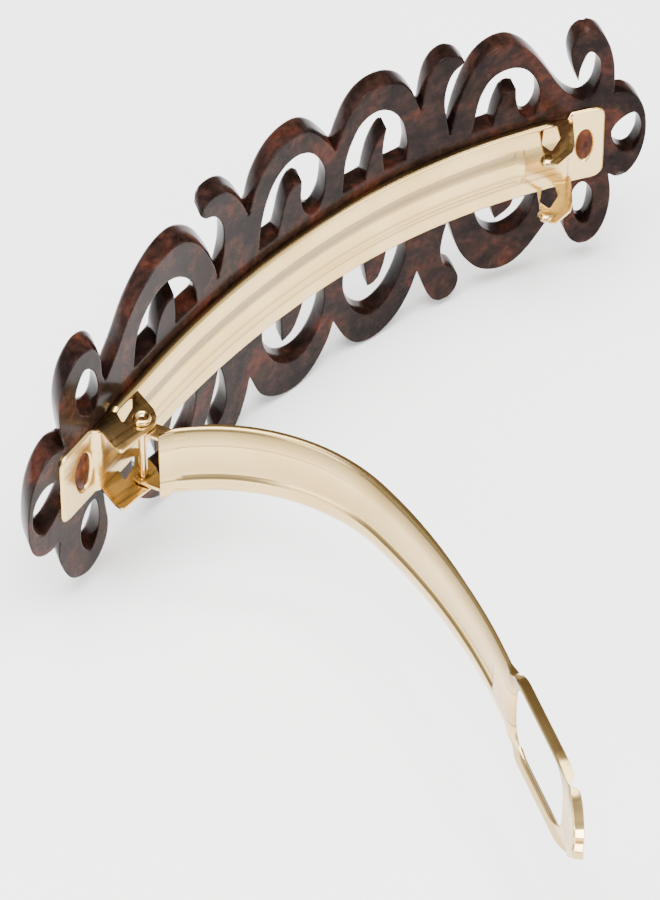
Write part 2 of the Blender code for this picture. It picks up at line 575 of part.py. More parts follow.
# ---------------------------------------------------------------- looks and names
def dress(obj, colour, metallic, roughness, soft):
    mat = bpy.data.materials.new(obj.name)
    mat.use_nodes = True
    node = mat.node_tree.nodes["Principled BSDF"]
    node.inputs["Base Color"].default_value = (*colour, 1.0)
    node.inputs["Metallic"].default_value = metallic
    node.inputs["Roughness"].default_value = roughness
    obj.data.materials.clear()
    obj.data.materials.append(mat)
    for poly in obj.data.polygons:
        poly.use_smooth = soft
    if soft:
        obj.data.set_sharp_from_angle(angle=math.radians(35.0))


GOLD = (0.75, 0.58, 0.38)
TORTOISE = (0.09, 0.035, 0.022)
STAKE_RED = (0.16, 0.05, 0.03)
dress(plate, TORTOISE, 0.0, 0.12, True)
for stake in stakes:
    dress(stake, STAKE_RED, 0.0, 0.25, True)
for metal in (base, pin, hinge_half, loop_half):
    dress(metal, GOLD, 1.0, 0.25, True)

# Bottom centre of the closed box round everything becomes the origin.
parts = [plate, base, pin, hinge_half, loop_half] + stakes
corners = [obj.matrix_basis @ v.co for obj in parts for v in obj.data.vertices]
low = Vector([min(c[i] for c in corners) for i in range(3)])
high = Vector([max(c[i] for c in corners) for i in range(3)])
for obj in parts:
    obj.location -= Vector(((low.x + high.x) / 2, (low.y + high.y) / 2, low.z))
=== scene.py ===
"""Studio view of the scroll-work barrette, open, lying on its long edge.

Shapes are drawn in millimetres in the clip's own frame, as in the model: X from hinge to
catch, +Y out of the show side, Z across the width. SHIFT carries them to the row frame.
"""
import math

import bmesh
import bpy
import numpy as np
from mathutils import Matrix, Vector
from mathutils.geometry import delaunay_2d_cdt


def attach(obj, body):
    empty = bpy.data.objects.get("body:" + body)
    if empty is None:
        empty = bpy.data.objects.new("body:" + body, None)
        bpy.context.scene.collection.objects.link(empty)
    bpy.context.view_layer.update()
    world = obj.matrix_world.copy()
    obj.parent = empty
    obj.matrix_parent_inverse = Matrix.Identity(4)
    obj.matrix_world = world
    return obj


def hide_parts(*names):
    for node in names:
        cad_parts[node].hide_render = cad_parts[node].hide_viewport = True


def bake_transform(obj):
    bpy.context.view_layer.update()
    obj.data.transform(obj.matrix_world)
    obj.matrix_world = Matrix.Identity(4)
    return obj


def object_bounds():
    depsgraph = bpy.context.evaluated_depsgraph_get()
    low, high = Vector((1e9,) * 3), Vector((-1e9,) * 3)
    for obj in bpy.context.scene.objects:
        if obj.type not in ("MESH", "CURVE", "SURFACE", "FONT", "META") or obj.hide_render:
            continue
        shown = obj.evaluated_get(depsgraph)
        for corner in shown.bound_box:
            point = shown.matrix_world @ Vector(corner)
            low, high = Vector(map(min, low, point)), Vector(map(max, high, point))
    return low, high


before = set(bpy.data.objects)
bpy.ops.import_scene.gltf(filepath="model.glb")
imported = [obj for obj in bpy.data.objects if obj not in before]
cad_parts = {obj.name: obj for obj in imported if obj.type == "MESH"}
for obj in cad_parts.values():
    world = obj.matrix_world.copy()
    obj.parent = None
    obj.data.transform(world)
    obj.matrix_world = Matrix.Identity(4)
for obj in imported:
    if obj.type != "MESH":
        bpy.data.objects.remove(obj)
start_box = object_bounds()

MM = 0.001
SHIFT = Vector((0.93766, 33.61944, 19.45207))

# ---------------------------------------------------------------- the clip's lines
CROWN = (5.0, 8.0)
BOW_HINGE, BOW_CATCH = (117.0, 30.0), (81.0, 36.0)      # radius, arc length
PLATE_BACK, PLATE_T, PLATE_RISE = 0.50, 3.0, 0.45       # back face, thickness, offset in z
WALL_TURN = math.radians(26.0)                          # slant of the plate's walls
STRIP_T, STRIP_LIFT = 0.35, 0.60                        # base sheet, how far it is raised
TAB_LEVEL, LIP = 0.05, 0.42                             # its end tabs, width of its edge
EAR_IN, EAR_OUT = 4.40, 4.85                            # faces of the base's ears, in z
LUG_IN, LUG_OUT = 3.80, 4.25                            # faces of the arm's lugs, in z
LUG_R, LUG_HOLE_R = 1.25, 0.56
PIN = (-33.0, -1.8)
ARM_START, ARM_HEADING = (-33.3, -4.9), math.radians(-28.7)
ARM_R1, ARM_L1, ARM_R2, ARM_L2 = 23.3, 27.5, 87.0, 55.0
ARM_T, ARM_FLANGE = 0.40, 1.00
TIP_BEND, TIP_R = 77.4, 7.5                             # last bend, at the loop's end
SPLIT, BLEND = 27.5, 14.0                               # middle and half length of the flex
PANEL_HALF, PANEL_DEPTH = 2.75, 0.45


def spine(s):
    """Plan position and heading on the clip's bending line."""
    r, length = BOW_HINGE if s < 0 else BOW_CATCH
    side = -1.0 if s < 0 else 1.0
    a = min(abs(s), length) / r
    rest = max(abs(s) - length, 0.0)
    x = CROWN[0] + side * (r * math.sin(a) + rest * math.cos(a))
    y = CROWN[1] - r * (1 - math.cos(a)) - rest * math.sin(a)
    return x, y, -side * a


def on_spine(p, off):
    """Point p = (distance, height), off behind the spine."""
    x, y, a = spine(p[0])
    return Vector((x - math.sin(a) * off, y + math.cos(a) * off, p[1]))


def arm_line(s):
    """Plan position and heading on the arm's bending line, from its hinge end."""
    x, y = ARM_START
    a0 = ARM_HEADING
    a1 = a0 - min(s, ARM_L1) / ARM_R1
    x += ARM_R1 * (math.sin(a0) - math.sin(a1))
    y += ARM_R1 * (math.cos(a1) - math.cos(a0))
    a2 = a1 - min(max(s - ARM_L1, 0.0), ARM_L2 - ARM_L1) / ARM_R2
    x += ARM_R2 * (math.sin(a1) - math.sin(a2))
    y += ARM_R2 * (math.cos(a2) - math.cos(a1))
    rest = min(max(s - ARM_L2, 0.0), TIP_BEND - ARM_L2)
    x += rest * math.cos(a2)
    y += rest * math.sin(a2)
    a3 = a2 - max(s - TIP_BEND, 0.0) / TIP_R
    x += TIP_R * (math.sin(a2) - math.sin(a3))
    y += TIP_R * (math.cos(a3) - math.cos(a2))
    return x, y, a3


def on_arm(p, off):
    """Point p = (distance, height) on the arm, off towards its bulging side."""
    x, y, a = arm_line(p[0])
    return Vector((x - math.sin(a) * off, y + math.cos(a) * off, p[1]))


def ease(t):
    """Smooth step from 0 to 1."""
    t = min(max(t, 0.0), 1.0)
    return t * t * (3 - 2 * t)


# ---------------------------------------------------------------- outlines
def smooth_run(points, step):
    """Points on a smooth curve through the given ones, without the last."""
    pts = [Vector(p) for p in points]
    ends = [pts[0] * 2 - pts[1]] + pts + [pts[-1] * 2 - pts[-2]]
    out = []
    for i in range(1, len(ends) - 2):
        p0, p1, p2, p3 = ends[i - 1:i + 3]
        t1 = max((p1 - p0).length, 1e-6) ** 0.5
        t2 = t1 + max((p2 - p1).length, 1e-6) ** 0.5
        t3 = t2 + max((p3 - p2).length, 1e-6) ** 0.5
        n = max(1, round((p2 - p1).length / step))
        for k in range(n):
            t = t1 + (t2 - t1) * k / n
            a = p0.lerp(p1, t / t1)
            b = p1.lerp(p2, (t - t1) / (t2 - t1))
            c = p2.lerp(p3, (t - t2) / (t3 - t2))
            d = a.lerp(b, t / t2)
            e = b.lerp(c, (t - t1) / (t3 - t1))
            out.append(d.lerp(e, (t - t1) / (t2 - t1)))
    return out


def closed_curve(runs, step):
    """Closed outline from runs that meet at sharp corners."""
    out = []
    for i, run in enumerate(runs):
        out += smooth_run(list(run) + [runs[(i + 1) % len(runs)][0]], step)
    return out


def ring_curve(points, step):
    """Closed outline without corners."""
    n = len(points)
    full = smooth_run([points[(i - 1) % n] for i in range(n + 3)], step)
    near = [i for i, p in enumerate(full) if (p - Vector(points[0])).length < 1e-4]
    return full[near[0]:near[-1]]


def rounded_poly(points, radius, step=0.3):
    """Polygon with its corners turned to arcs; radius is one number or one per corner."""
    n = len(points)
    radii = [radius] * n if isinstance(radius, (int, float)) else radius
    key = []
    for i in range(n):
        p = Vector(points[i])
        a = (Vector(points[i - 1]) - p)
        b = (Vector(points[(i + 1) % n]) - p)
        turn = a.angle(b)
        cut = min(radii[i] / math.tan(turn / 2), a.length * 0.48, b.length * 0.48)
        pa, pb = p + a.normalized() * cut, p + b.normalized() * cut
        steps = max(2, round((math.pi - turn) / 0.25))
        for k in range(steps + 1):
            t = k / steps
            key.append(pa * (1 - t) ** 2 + p * 2 * t * (1 - t) + pb * t * t)
    out = []
    for a, b in zip(key, key[1:] + key[:1]):
        gap = (b - a).length
        if gap > 1e-4:
            m = max(1, round(gap / step))
            out += [a.lerp(b, k / m) for k in range(m)]
    return out


def ellipse(cx, cy, rx, ry, sides=40):
    turn = [2 * math.pi * i / sides for i in range(sides)]
    return [Vector((cx + rx * math.cos(t), cy + ry * math.sin(t))) for t in turn]


# ---------------------------------------------------------------- formed sheet
def edge_distance(points, loops):
    """Distance from each point to the nearest outline."""
    a = np.concatenate([np.array([tuple(p) for p in loop]) for loop in loops])
    b = np.concatenate([np.roll(np.array([tuple(p) for p in loop]), -1, 0) for loop in loops])
    best = np.full(len(points), 1e9)
    run = b - a
    size = np.maximum((run ** 2).sum(1), 1e-12)
    for i in range(0, len(points), 500):
        q = points[i:i + 500, None, :] - a[None]
        t = np.clip((q * run[None]).sum(2) / size[None], 0, 1)
        gap = q - run[None] * t[..., None]
        best[i:i + 500] = np.sqrt((gap ** 2).sum(2)).min(1)
    return best


def inside(points, loops):
    """True where an odd number of outlines surround the point."""
    count = np.zeros(len(points), int)
    for loop in loops:
        a = np.array([tuple(p) for p in loop])
        b = np.roll(a, -1, 0)
        rise = np.where(b[:, 1] == a[:, 1], 1e-12, b[:, 1] - a[:, 1])
        for i in range(0, len(points), 500):
            p = points[i:i + 500]
            spans = (a[None, :, 1] > p[:, None, 1]) != (b[None, :, 1] > p[:, None, 1])
            x = a[None, :, 0] + (b - a)[None, :, 0] * (p[:, None, 1] - a[None, :, 1]) / rise
            count[i:i + 500] += (spans & (p[:, None, 0] < x)).sum(1)
    return count % 2 == 1


def formed(name, loops, rings, spread, place, low, high, extra=(), ruled=None):
    """Closed sheet between two faces; low and high give each face from point and edge distance.

    rings are the edge distances that get rows of points of their own, extra are further
    points, and ruled tells where those take the place of the even grid.
    """
    coords, edges = [], []
    for loop in loops:
        first = len(coords)
        coords += [tuple(p) for p in loop]
        edges += [(first + i, first + (i + 1) % len(loop)) for i in range(len(loop))]
    rim_count = len(coords)
    added = []
    for loop in loops:
        pts = np.array([tuple(p) for p in loop])
        along = np.roll(pts, -1, 0) - np.roll(pts, 1, 0)
        along /= np.maximum(np.linalg.norm(along, axis=1, keepdims=True), 1e-9)
        square = np.stack([-along[:, 1], along[:, 0]], 1)
        for depth in rings:
            for side in (1, -1):
                q = pts + square * depth * side
                ok = inside(q, loops) & (edge_distance(q, loops) > depth * 0.985)
                added.append(q[ok])
    outer = np.array([tuple(p) for p in loops[0]])
    xs = np.arange(outer[:, 0].min() + spread / 2, outer[:, 0].max(), spread)
    ys = np.arange(outer[:, 1].min() + spread / 2, outer[:, 1].max(), spread)
    grid = np.stack(np.meshgrid(xs, ys), -1).reshape(-1, 2)
    if ruled is not None:
        grid = grid[~ruled(grid)]
    if len(extra):
        grid = np.concatenate([grid, np.array(extra, float)])
    keep = inside(grid, loops)
    keep[keep] = edge_distance(grid[keep], loops) > max(rings) + 0.15
    added.append(grid[keep])
    coords += [tuple(p) for p in np.concatenate(added)]
    verts, _, faces, _, _, _ = delaunay_2d_cdt([Vector(c) for c in coords], edges, [], 1, 1e-6)
    flat = np.array([tuple(v) for v in verts])
    middle = np.array([flat[list(f)].mean(0) for f in faces])
    solid = inside(middle, loops)
    gap = edge_distance(flat, loops)
    gap[gap < 1e-4] = 0.0

    bm = bmesh.new()
    uv = bm.loops.layers.uv.new("flat")
    rows = [[bm.verts.new(place(p, face(p, d))) for p, d in zip(verts, gap)]
            for face in (low, high)]
    rim = {}
    for face, use in zip(faces, solid):
        if not use:
            continue
        for row, order in ((rows[0], face[::-1]), (rows[1], face)):
            made = bm.faces.new([row[i] for i in order])
            for corner, i in zip(made.loops, order):
                corner[uv].uv = flat[i] / 100
        for i, a in enumerate(face):
            b = face[(i + 1) % len(face)]
            if (b, a) in rim:
                del rim[(b, a)]
            else:
                rim[(a, b)] = True
    for a, b in rim:
        made = bm.faces.new((rows[0][a], rows[0][b], rows[1][b], rows[1][a]))
        for corner, i in zip(made.loops, (a, b, b, a)):
            corner[uv].uv = flat[i] / 100
    bmesh.ops.delete(bm, geom=[v for v in bm.verts if not v.link_faces], context="VERTS")
    bmesh.ops.recalc_face_normals(bm, faces=bm.faces)
    for f in bm.faces:
        f.smooth = True
    mesh = bpy.data.meshes.new(name)
    bm.to_mesh(mesh)
    bm.free()
    return mesh


def ruling(half_rows, columns):
    """Points on straight rows, the same on both sides of the middle."""
    rows = [0.0] + list(half_rows) + [-z for z in half_rows]
    return [(s, z) for z in rows for s in columns]


def mirrored(edge):
    """Closed outline from one half of it, given from end to end."""
    return edge + [(s, -h) for s, h in reversed(edge)]


def upright(p, t):
    """Placement of a flat sheet that stands across the width, at t."""
    return Vector((p[0], p[1], t))


def sheet_sides(name, shapes, rings, spread, inner, outer, turns=(0.1, 0.1)):
    """The same flat sheet on both sides of the middle."""
    return [formed(name, shapes, rings, spread, upright,
                   lambda p, d: side * (inner + fillet(d, turns[0])),
                   lambda p, d: side * (outer - fillet(d, turns[1]))) for side in (-1, 1)]


def piece(name, meshes, material, sharp=38.0):
    """One object from meshes drawn in millimetres, moved to the row frame."""
    bm = bmesh.new()
    for mesh in meshes:
        bm.from_mesh(mesh)
    for v in bm.verts:
        v.co = (v.co + SHIFT) * MM
    mesh = bpy.data.meshes.new(name)
    bm.to_mesh(mesh)
    bm.free()
    mesh.materials.append(material)
    mesh.set_sharp_from_angle(angle=math.radians(sharp))
    obj = bpy.data.objects.new(name, mesh)
    bpy.context.scene.collection.objects.link(obj)
    return obj


def lathe(profile, centre, sides=48):
    """Closed solid turned about an upright axis; profile is (radius, z) from bottom to top."""
    bm = bmesh.new()
    rows = []
    for r, z in profile:
        turn = [2 * math.pi * i / sides for i in range(sides)]
        rows.append([bm.verts.new((centre[0] + r * math.cos(t), centre[1] + r * math.sin(t), z))
                     for t in turn])
    for a, b in zip(rows, rows[1:]):
        for i in range(sides):
            j = (i + 1) % sides
            bm.faces.new((a[i], a[j], b[j], b[i])).smooth = True
    bm.faces.new(rows[0][::-1]).smooth = True
    bm.faces.new(rows[-1]).smooth = True
    mesh = bpy.data.meshes.new("lathe")
    bm.to_mesh(mesh)
    bm.free()
    return mesh


def fillet(d, r):
    """How far a rounded edge of radius r has dropped at distance d from the edge."""
    if d >= r:
        return 0.0
    return r - math.sqrt(max(r * r - (r - d) ** 2, 0.0))


# ---------------------------------------------------------------- materials
def new_material(name):
    mat = bpy.data.materials.new(name)
    mat.use_nodes = True
    return mat, mat.node_tree, mat.node_tree.nodes["Principled BSDF"]


def noise(tree, vector, scale, detail=3.0, rough=0.5, distort=0.0):
    node = tree.nodes.new("ShaderNodeTexNoise")
    node.inputs["Scale"].default_value = scale
    node.inputs["Detail"].default_value = detail
    node.inputs["Roughness"].default_value = rough
    node.inputs["Distortion"].default_value = distort
    tree.links.new(vector, node.inputs["Vector"])
    return node.outputs["Fac"]


def ramp(tree, value, stops):
    """Colour ramp from (position, rgb) stops."""
    node = tree.nodes.new("ShaderNodeValToRGB")
    bar = node.color_ramp
    while len(bar.elements) < len(stops):
        bar.elements.new(0.5)
    for element, (at, colour) in zip(bar.elements, stops):
        element.position = at
        element.color = (*colour, 1.0)
    tree.links.new(value, node.inputs["Fac"])
    return node.outputs["Color"]


def mapped(tree, output, scale):
    node = tree.nodes.new("ShaderNodeMapping")
    node.inputs["Scale"].default_value = scale
    tree.links.new(output, node.inputs["Vector"])
    return node.outputs["Vector"]


def mixed(tree, mode, factor, first, second):
    """Colour mix of two sockets; factor is a number or a socket."""
    node = tree.nodes.new("ShaderNodeMix")
    node.data_type = "RGBA"
    node.blend_type = mode
    if isinstance(factor, float):
        node.inputs["Factor"].default_value = factor
    else:
        tree.links.new(factor, node.inputs["Factor"])
    for socket, source in ((6, first), (7, second)):
        if isinstance(source, tuple):
            node.inputs[socket].default_value = source
        else:
            tree.links.new(source, node.inputs[socket])
    return node.outputs[2]


def ranged(tree, value, low, high):
    """Value carried from the range low to high to 0 to 1."""
    node = tree.nodes.new("ShaderNodeMapRange")
    node.inputs["From Min"].default_value = low
    node.inputs["From Max"].default_value = high
    tree.links.new(value, node.inputs["Value"])
    return node.outputs["Result"]


def bump(tree, height, strength, distance, shader):
    node = tree.nodes.new("ShaderNodeBump")
    node.inputs["Strength"].default_value = strength
    node.inputs["Distance"].default_value = distance
    tree.links.new(height, node.inputs["Height"])
    tree.links.new(node.outputs["Normal"], shader.inputs["Normal"])


def make_tortoise(name, dark, mid, red):
    """Clouded dark plastic with fine flecks."""
    mat, tree, shader = new_material(name)
    place = tree.nodes.new("ShaderNodeTexCoord").outputs["Object"]
    cloud = noise(tree, place, 210.0, 4.0, 0.6, 0.5)
    fleck = noise(tree, place, 900.0, 3.0, 0.6, 0.3)
    base = ramp(tree, cloud, [(0.38, dark), (0.52, mid), (0.68, red)])
    spots = ramp(tree, fleck, [(0.38, (0.60, 0.56, 0.56)), (0.64, (1.45, 1.35, 1.25))])
    tree.links.new(mixed(tree, "MULTIPLY", 0.85, base, spots), shader.inputs["Base Color"])
    shader.inputs["Roughness"].default_value = 0.20
    shader.inputs["IOR"].default_value = 1.40
    shader.inputs["Specular IOR Level"].default_value = 0.07
    soft = noise(tree, place, 240.0, 2.0)
    bump(tree, soft, 0.12, 0.0004, shader)
    return mat


def make_gold(name, colour, deep, rough, painted_shade_bands=(), span=(-50.0, 90.0)):
    """Brushed plating; the optional stops are (z, shade) pairs of painted shade: darker stripes
    across a pressed strip, over its span, standing in for the shade its grooves and turned
    faces catch.
    """
    mat, tree, shader = new_material(name)
    flat = tree.nodes.new("ShaderNodeTexCoord").outputs["UV"]
    place = tree.nodes.new("ShaderNodeTexCoord").outputs["Object"]
    streak = noise(tree, mapped(tree, flat, (6.0, 420.0, 1.0)), 1.0, 4.0, 0.6)
    patch = noise(tree, place, 130.0, 3.0, 0.5, 0.4)
    tint = ramp(tree, patch, [(0.30, deep), (0.62, colour)])
    if painted_shade_bands:
        # painted shade: the colour is multiplied by darker stripes across the strip where its
        # grooves and turned edges would look dark; the span mask keeps the end tabs clear
        parts = tree.nodes.new("ShaderNodeSeparateXYZ")
        tree.links.new(flat, parts.inputs["Vector"])
        across = ranged(tree, parts.outputs["Y"], -0.06, 0.06)
        stops = [((z + 6) / 12, (k * k, k * k * 0.97, k * k * 0.90)) for z, k in painted_shade_bands]
        along = ranged(tree, parts.outputs["X"], -1.0, 1.0)
        low, high = (0.5 + s / 200 for s in span)
        where = ramp(tree, along, [
            (low - 0.002, (0, 0, 0)), (low + 0.002, (1, 1, 1)),
            (high - 0.002, (1, 1, 1)), (high + 0.002, (0, 0, 0))])
        tint = mixed(tree, "MULTIPLY", where, tint, ramp(tree, across, stops))
    tree.links.new(tint, shader.inputs["Base Color"])
    spread = ramp(tree, streak, [(0.25, (rough * 0.75,) * 3), (0.75, (rough * 1.35,) * 3)])
    tree.links.new(spread, shader.inputs["Roughness"])
    shader.inputs["Metallic"].default_value = 1.0
    bump(tree, streak, 0.06, 0.00012, shader)
    return mat


TORTOISE = make_tortoise("tortoiseshell", (0.0065, 0.0034, 0.0030), (0.016, 0.0078, 0.0062),
                         (0.042, 0.0125, 0.0080))
STAKE = make_tortoise("stake", (0.030, 0.009, 0.005), (0.060, 0.018, 0.009),
                      (0.110, 0.036, 0.014))
PALE, DEEP = (0.76, 0.56, 0.265), (0.69, 0.485, 0.20)
GOLD = make_gold("pale_gold", PALE, DEEP, 0.17)
# strip gold with painted shade: darker stripes at the base strip's groove, its lower steps and
# its edges
STRIP_GOLD = make_gold("strip_gold", PALE, DEEP, 0.20, [
    (-5.2, 0.86), (-4.6, 1.0), (-3.1, 0.98), (-2.85, 0.70), (-2.6, 0.92), (-2.2, 0.98),
    (-1.8, 0.78), (-1.5, 0.98), (-0.3, 1.0), (0.1, 0.74), (1.0, 0.58), (2.1, 0.72),
    (2.5, 0.96), (3.6, 1.0), (4.7, 0.94), (5.2, 0.80)], (-42.8, 32.6))
# arm gold with painted shade: a dark line near z -2.5 and darker shade over the flange from z
# 3.8 to 5.2
ARM_GOLD = make_gold("arm_gold", PALE, DEEP, 0.22, [
    (-5.0, 0.80), (-4.5, 0.98), (-3.0, 0.92), (-2.75, 1.0), (-2.5, 0.55), (-2.2, 0.92),
    (-1.6, 0.86), (0.0, 0.90), (1.6, 0.96), (2.1, 1.0), (2.5, 0.82), (3.0, 0.90),
    (3.8, 0.76), (4.6, 0.62), (5.2, 0.62)])

# ---------------------------------------------------------------- scroll plate
OUTLINE = [
    [(-49.0, 5.7), (-49.6, 9.0), (-49.6, 12.5), (-48.3, 15.4), (-45.5, 16.9),
     (-42.8, 16.0), (-41.2, 13.4), (-40.9, 10.5)],
    [(-40.4, 9.2), (-38.0, 11.7), (-36.0, 14.3), (-33.7, 16.3), (-31.0, 17.7),
     (-28.3, 18.4), (-25.5, 18.2), (-23.2, 16.9), (-21.2, 14.8), (-18.7, 10.0)],
    [(-18.0, 7.3), (-17.0, 10.5), (-17.1, 14.8), (-18.4, 17.1), (-20.2, 18.1)],
    [(-21.0, 19.1), (-20.3, 20.1), (-18.5, 20.3), (-16.5, 19.6), (-14.8, 17.8),
     (-13.5, 15.6)],
    [(-12.4, 13.1), (-11.4, 16.0), (-9.8, 18.2), (-8.0, 19.5), (-5.6, 20.1),
     (-3.3, 19.8), (-1.5, 18.5), (0.6, 15.7)],
    [(1.8, 13.7), (2.7, 15.8), (3.9, 17.9), (5.5, 19.3), (7.5, 19.9), (9.8, 19.6),
     (11.7, 18.4), (13.3, 16.0)],
    [(14.4, 13.0), (14.8, 15.8), (15.4, 17.9), (16.4, 19.2), (17.9, 19.7),
     (19.4, 19.0)],
    [(20.3, 17.8), (18.8, 16.8), (18.0, 15.0), (17.7, 12.5), (18.0, 10.0)],
    [(18.5, 7.3), (19.3, 11.0), (20.8, 15.0), (22.3, 17.1), (24.3, 18.2), (26.3, 18.2),
     (28.0, 17.1), (29.6, 15.2), (31.2, 12.5), (32.6, 9.9), (34.2, 7.6), (36.0, 6.4),
     (37.2, 7.2), (37.9, 9.5), (37.8, 12.2), (36.5, 13.8), (35.4, 11.4)],
    [(35.2, 9.5), (34.4, 12.2), (34.2, 14.5), (34.8, 16.4), (36.3, 17.2), (37.8, 16.5),
     (38.9, 14.4), (39.6, 11.5), (39.8, 8.5)],
    [(39.8, 6.3), (41.3, 6.3), (42.7, 5.2), (43.7, 3.0), (44.1, 0.0), (43.8, -3.0),
     (43.0, -5.3), (41.8, -6.8), (40.6, -7.1)],
    [(39.5, -6.4), (39.8, -8.7), (39.8, -11.0), (39.2, -14.0), (38.0, -16.2),
     (36.5, -16.9), (35.2, -16.2), (34.2, -14.3), (33.9, -12.0)],
    [(33.2, -9.2), (30.9, -13.0), (28.9, -15.6), (27.2, -16.9), (25.3, -17.2),
     (23.0, -16.3), (21.3, -14.4), (20.0, -12.0), (19.1, -9.0)],
    [(18.4, -6.2), (17.7, -9.0), (17.5, -11.3), (18.0, -13.3), (19.3, -14.6),
     (20.0, -16.4), (19.4, -18.3), (18.0, -19.1), (16.7, -18.6), (15.7, -17.1)],
    [(14.15, -12.5), (13.0, -15.3), (11.3, -17.8), (9.3, -19.3), (7.3, -19.8),
     (5.3, -19.3), (3.7, -17.7), (2.4, -15.4)],
    [(1.5, -13.4), (0.5, -15.8), (-0.9, -17.7), (-2.6, -19.2), (-4.5, -19.9),
     (-6.6, -19.7), (-8.8, -18.7), (-10.8, -16.8)],
    [(-12.65, -12.7), (-13.5, -15.4), (-15.0, -18.2), (-16.8, -19.4), (-18.6, -19.0),
     (-19.5, -17.5)],
    [(-19.2, -16.0), (-18.0, -15.1), (-17.1, -13.2), (-17.2, -10.2)],
    [(-18.1, -6.6), (-19.3, -10.3), (-20.9, -13.8), (-22.8, -16.2), (-25.5, -18.0),
     (-28.5, -18.5), (-31.5, -17.3), (-34.3, -14.9), (-36.8, -11.8)],
    [(-41.6, -6.8), (-41.3, -10.0), (-40.9, -13.0), (-41.5, -15.3), (-43.0, -16.8),
     (-45.0, -17.4), (-47.0, -16.8), (-48.7, -15.5), (-50.0, -13.3), (-51.0, -10.0)],
    [(-50.6, -7.8), (-52.2, -7.9), (-54.0, -7.3), (-55.6, -5.8), (-56.5, -3.2),
     (-56.5, 0.5), (-55.7, 3.6), (-53.9, 5.8), (-51.5, 6.6)],
]
CUTS = [
    [[(-34.6, 6.5)], [(-30.3, 6.5), (-30.0, 8.3), (-29.0, 10.0), (-27.8, 10.9)],
     [(-26.3, 11.0), (-26.1, 9.0)], [(-26.1, 6.5)],
     [(-22.0, 6.5), (-22.3, 8.7), (-23.2, 10.8), (-24.8, 12.6), (-26.6, 13.7),
      (-28.6, 14.1), (-30.8, 13.6), (-32.6, 12.4), (-33.9, 10.5)]],
    [[(-10.7, 6.4)], [(-7.7, 6.4), (-7.2, 8.0), (-6.7, 9.9), (-5.8, 11.8), (-4.6, 12.6)],
     [(-3.5, 12.2), (-3.6, 9.3), (-3.0, 7.2), (-1.6, 6.0), (-0.4, 7.4), (0.1, 9.6),
      (0.1, 11.6), (-0.7, 13.9), (-2.3, 15.9), (-4.3, 16.7), (-6.2, 16.4),
      (-8.0, 15.1), (-9.4, 12.8), (-10.3, 9.8)]],
    [[(3.0, 6.35)], [(6.3, 6.35), (6.7, 8.3), (7.4, 10.4), (8.5, 12.1)],
     [(9.5, 12.7), (9.1, 10.7), (9.0, 8.7)], [(9.3, 6.35)],
     [(12.2, 6.35), (12.5, 8.3), (12.3, 10.4), (11.7, 12.7), (10.4, 14.8), (8.7, 16.0),
      (7.2, 16.1), (5.7, 15.4), (4.5, 13.7), (3.5, 11.2)]],
    [[(21.5, 6.2)], [(24.2, 6.2), (24.5, 7.7), (25.0, 9.3), (25.8, 10.7)],
     [(27.2, 10.9), (27.3, 9.0), (28.0, 6.5), (29.1, 5.6), (30.0, 6.7), (30.3, 9.2),
      (29.6, 11.8), (28.0, 13.8), (26.1, 14.4), (24.1, 13.8), (22.6, 11.6)]],
    [[(-35.6, -6.4), (-35.7, -8.6), (-34.8, -11.0), (-32.5, -13.5), (-29.3, -14.7),
      (-26.3, -13.9), (-23.9, -11.9), (-22.8, -9.0)],
     [(-22.6, -6.4)], [(-27.0, -6.4), (-27.6, -8.4), (-28.8, -10.2)],
     [(-31.0, -10.4)], [(-31.3, -6.4)]],
    [[(-10.3, -6.4), (-10.3, -8.6), (-9.3, -11.5), (-7.6, -14.0), (-5.7, -15.1),
      (-4.0, -15.2), (-2.4, -14.3), (-1.0, -12.3), (-0.2, -9.6)],
     [(0.0, -6.4)], [(-3.3, -6.4), (-4.0, -8.3), (-5.3, -10.3)], [(-7.0, -11.0)],
     [(-7.3, -6.4)]],
    [[(3.1, -6.4), (3.1, -9.3), (3.9, -11.9), (5.2, -14.2), (7.2, -15.6), (9.3, -14.8),
      (11.1, -12.3), (12.2, -9.0)],
     [(12.5, -6.4)], [(9.7, -6.4), (9.1, -8.8), (8.1, -10.6)], [(6.8, -10.9)],
     [(6.1, -6.4)]],
    [[(22.0, -6.1), (22.4, -7.9), (23.2, -9.7), (24.5, -11.2), (26.3, -11.9),
      (28.0, -11.2), (29.3, -9.6)],
     [(30.2, -6.1)], [(27.4, -6.1), (26.8, -7.6)], [(24.8, -8.9)], [(24.1, -6.1)]],
]
EYES = [
    [(-46.1, 9.7), (-46.1, 12.0), (-44.4, 13.9), (-42.8, 12.6), (-42.0, 9.0),
     (-43.1, 6.4), (-44.9, 7.3)],
    [(-55.5, -1.2), (-54.9, 1.7), (-53.0, 2.6), (-50.8, 1.8), (-48.9, -0.5),
     (-51.0, -3.1), (-53.7, -4.1)],
    [(-46.3, -9.6), (-45.2, -7.6), (-43.6, -7.1), (-42.8, -9.6), (-43.2, -12.7),
     (-44.7, -14.3), (-46.1, -12.4)],
    [(39.7, 0.4), (41.0, 2.2), (42.5, 2.7), (43.4, 0.8), (43.3, -1.8), (42.2, -3.5),
     (40.7, -2.7)],
    [(35.1, -7.6), (35.1, -10.5), (35.8, -13.0), (36.8, -13.6), (37.5, -11.0),
     (37.3, -8.2), (36.1, -6.7)],
]
ROUND_FRONT, ROUND_BACK = 0.85, 0.16


def plate_place(p, depth):
    """Depth is measured square to the face; the walls run in one direction."""
    a = spine(p[0])[2]
    foot = on_spine((p[0], p[1] + PLATE_RISE), PLATE_BACK)
    reach = depth / math.cos(WALL_TURN + a)
    return foot + Vector((math.sin(WALL_TURN), math.cos(WALL_TURN), 0.0)) * reach


